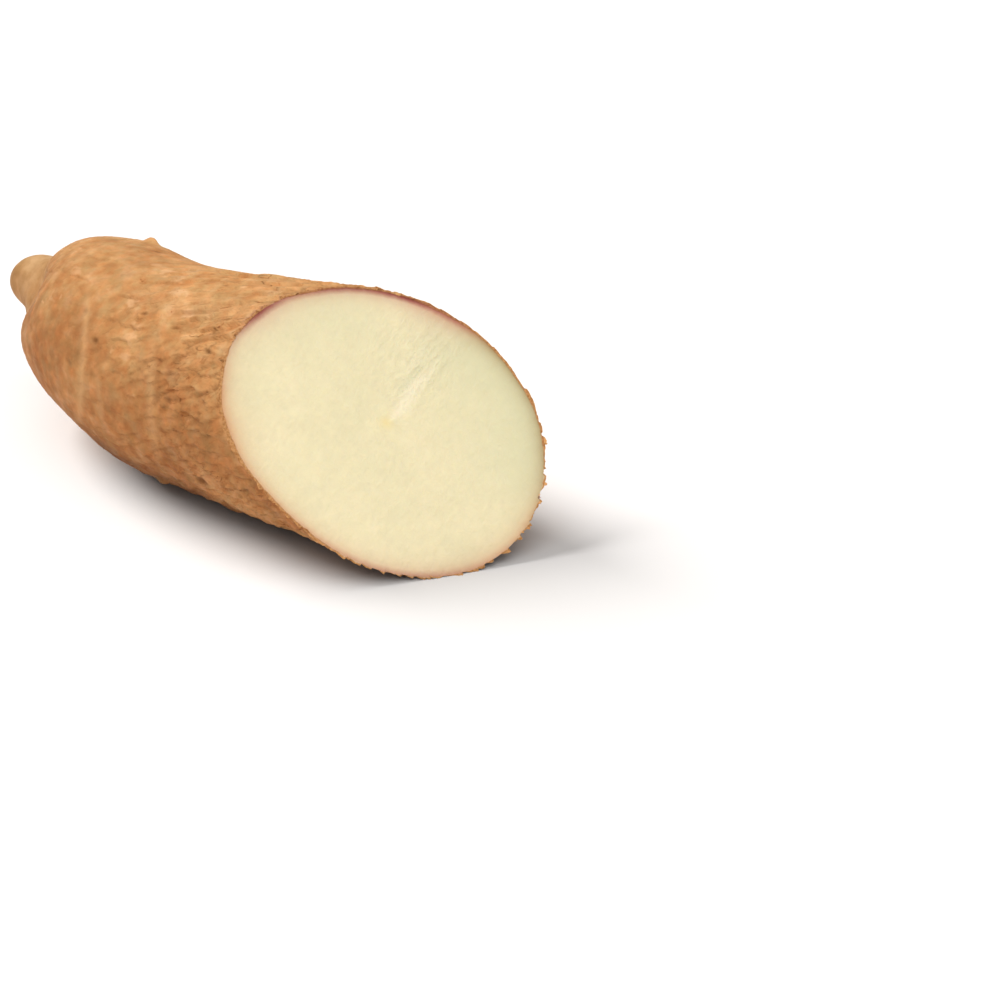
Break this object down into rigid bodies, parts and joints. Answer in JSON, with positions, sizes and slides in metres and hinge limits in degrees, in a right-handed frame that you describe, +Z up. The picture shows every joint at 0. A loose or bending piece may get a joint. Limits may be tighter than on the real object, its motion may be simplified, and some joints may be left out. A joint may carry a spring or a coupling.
{
  "type": "cassava root",
  "caption": "Thick end of a cassava root lying on its belly, with a rounded neck stub at one end and a flat slanted cut showing pale flesh at the other.",
  "frame": {"origin": "on the surface that the root lies on, under the middle of its box", "axes": "+X along the root, from the neck stub to the slanted cut; +Z up; the cut face looks along +X, up, and a little towards -Y"},
  "size_m": [0.1984, 0.0802, 0.0697],
  "materials": {
    "bark": "matte",
    "rind": "matte",
    "flesh": "satin"
  },
  "bodies": {
    "root": {"cassava_root": "bark"}
  },
  "joints": []
}
